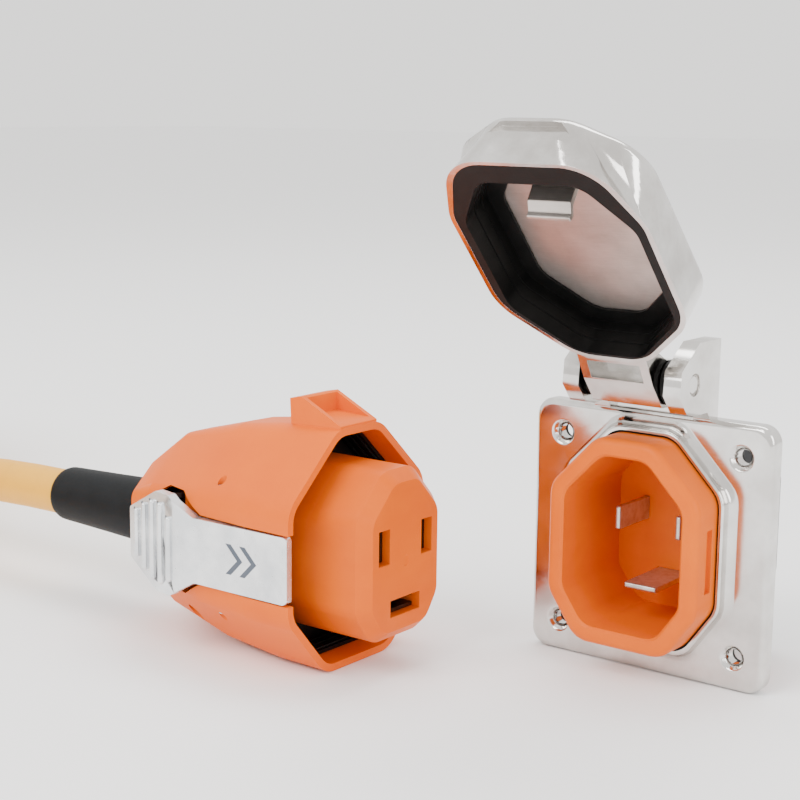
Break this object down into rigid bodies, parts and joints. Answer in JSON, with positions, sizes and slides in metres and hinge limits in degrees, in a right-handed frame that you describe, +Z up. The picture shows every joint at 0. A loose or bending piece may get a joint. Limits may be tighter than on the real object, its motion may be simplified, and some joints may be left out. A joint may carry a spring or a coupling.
{
  "type": "shore power cord",
  "caption": "Extension cord with a latching moulded connector, shown beside the panel inlet it plugs into, with a hinged steel lid and a shrouded blade well.",
  "frame": {"origin": "centre of the inlet plate's mounting face", "axes": "-Y out of the inlet's mating face, +Z up towards the lid's hinge, +X to the right seen from the front; the connector lies to the left and faces +X"},
  "size_m": [0.6501, 0.245, 0.1844],
  "materials": {
    "shell_orange": "fine matte moulded nylon",
    "socket_orange": "fine matte moulded nylon",
    "shroud_orange": "fine matte moulded nylon",
    "polished_steel": "mirror polished stainless steel",
    "brushed_steel": "brushed stainless sheet",
    "latch_metal": "polished plated zinc",
    "seal_rubber": "matte black rubber",
    "blade_brass": "nickel plated brass",
    "contact_brass": "brass",
    "screw_steel": "plated steel",
    "black_plastic": "matte moulded plastic",
    "relief_grey": "matte grey rubber",
    "cord_yellow": "smooth satin jacket",
    "plug_yellow": "moulded satin rubber",
    "wire_black": "insulated core",
    "wire_white": "insulated core",
    "wire_green": "insulated core",
    "tie_fabric": "woven hook and loop strap"
  },
  "bodies": {
    "cord_set": {"shell_upper": "shell_orange", "shell_lower": "shell_orange", "socket_block": "socket_orange", "contact_line": "contact_brass", "contact_neutral": "contact_brass", "contact_ground": "contact_brass", "contact_carrier": "black_plastic", "carrier_screws": "screw_steel", "seal_liner": "seal_rubber", "shell_screws": "screw_steel", "latch_pin_left": "screw_steel", "latch_pin_right": "screw_steel", "latch_spring_left": "screw_steel", "latch_spring_right": "screw_steel", "cable_clamp": "black_plastic", "clamp_screws": "screw_steel", "wire_line": "wire_black", "wire_neutral": "wire_white", "wire_ground": "wire_green", "cord_end": "cord_yellow", "strain_relief": "relief_grey", "cord": "cord_yellow", "cord_coil": "cord_yellow", "cord_tail": "cord_yellow", "coil_tie_front": "tie_fabric", "coil_tie_back": "tie_fabric", "plug_body": "plug_yellow", "plug_face": "black_plastic", "plug_relief": "cord_yellow", "plug_blade_line": "blade_brass", "plug_blade_neutral": "blade_brass", "plug_blade_ground": "blade_brass"},
    "latch_left": {"latch_left": "latch_metal"},
    "latch_right": {"latch_right": "latch_metal"},
    "inlet": {"inlet_plate": "polished_steel", "panel_gasket": "seal_rubber", "inlet_shroud": "shroud_orange", "shroud_seal": "seal_rubber", "blade_line": "blade_brass", "blade_neutral": "blade_brass", "blade_ground": "blade_brass", "terminal_block": "black_plastic", "terminal_screws": "screw_steel", "hinge_pin": "polished_steel", "hinge_washers": "polished_steel"},
    "lid": {"lid_shell": "polished_steel", "lid_spring": "screw_steel", "lid_gasket": "seal_rubber", "lid_plate": "brushed_steel", "lid_hook": "brushed_steel"}
  },
  "joints": [
    {"name": "halves_apart", "type": "slide", "parent": "cord_set", "child": "inlet", "axis": [1, 0, 0], "range_m": [0, 0.12]},
    {"name": "lid_hinge", "type": "hinge", "parent": "inlet", "child": "lid", "pos_m": [0, -0.017, 0.0572], "axis": [-1, 0, 0], "range_deg": [-137.7, 6]},
    {"name": "latch_left_pivot", "type": "hinge", "parent": "cord_set", "child": "latch_left", "pos_m": [-0.1153, -0.0889, -0.00525], "axis": [0, 0, -1], "range_deg": [0, 4], "stiffness_Nm_per_rad": 1.2, "springref_deg": -2.86},
    {"name": "latch_right_pivot", "type": "hinge", "parent": "cord_set", "child": "latch_right", "pos_m": [-0.1153, -0.0317, -0.00525], "axis": [0, 0, 1], "range_deg": [0, 4], "stiffness_Nm_per_rad": 1.2, "springref_deg": -2.86}
  ]
}
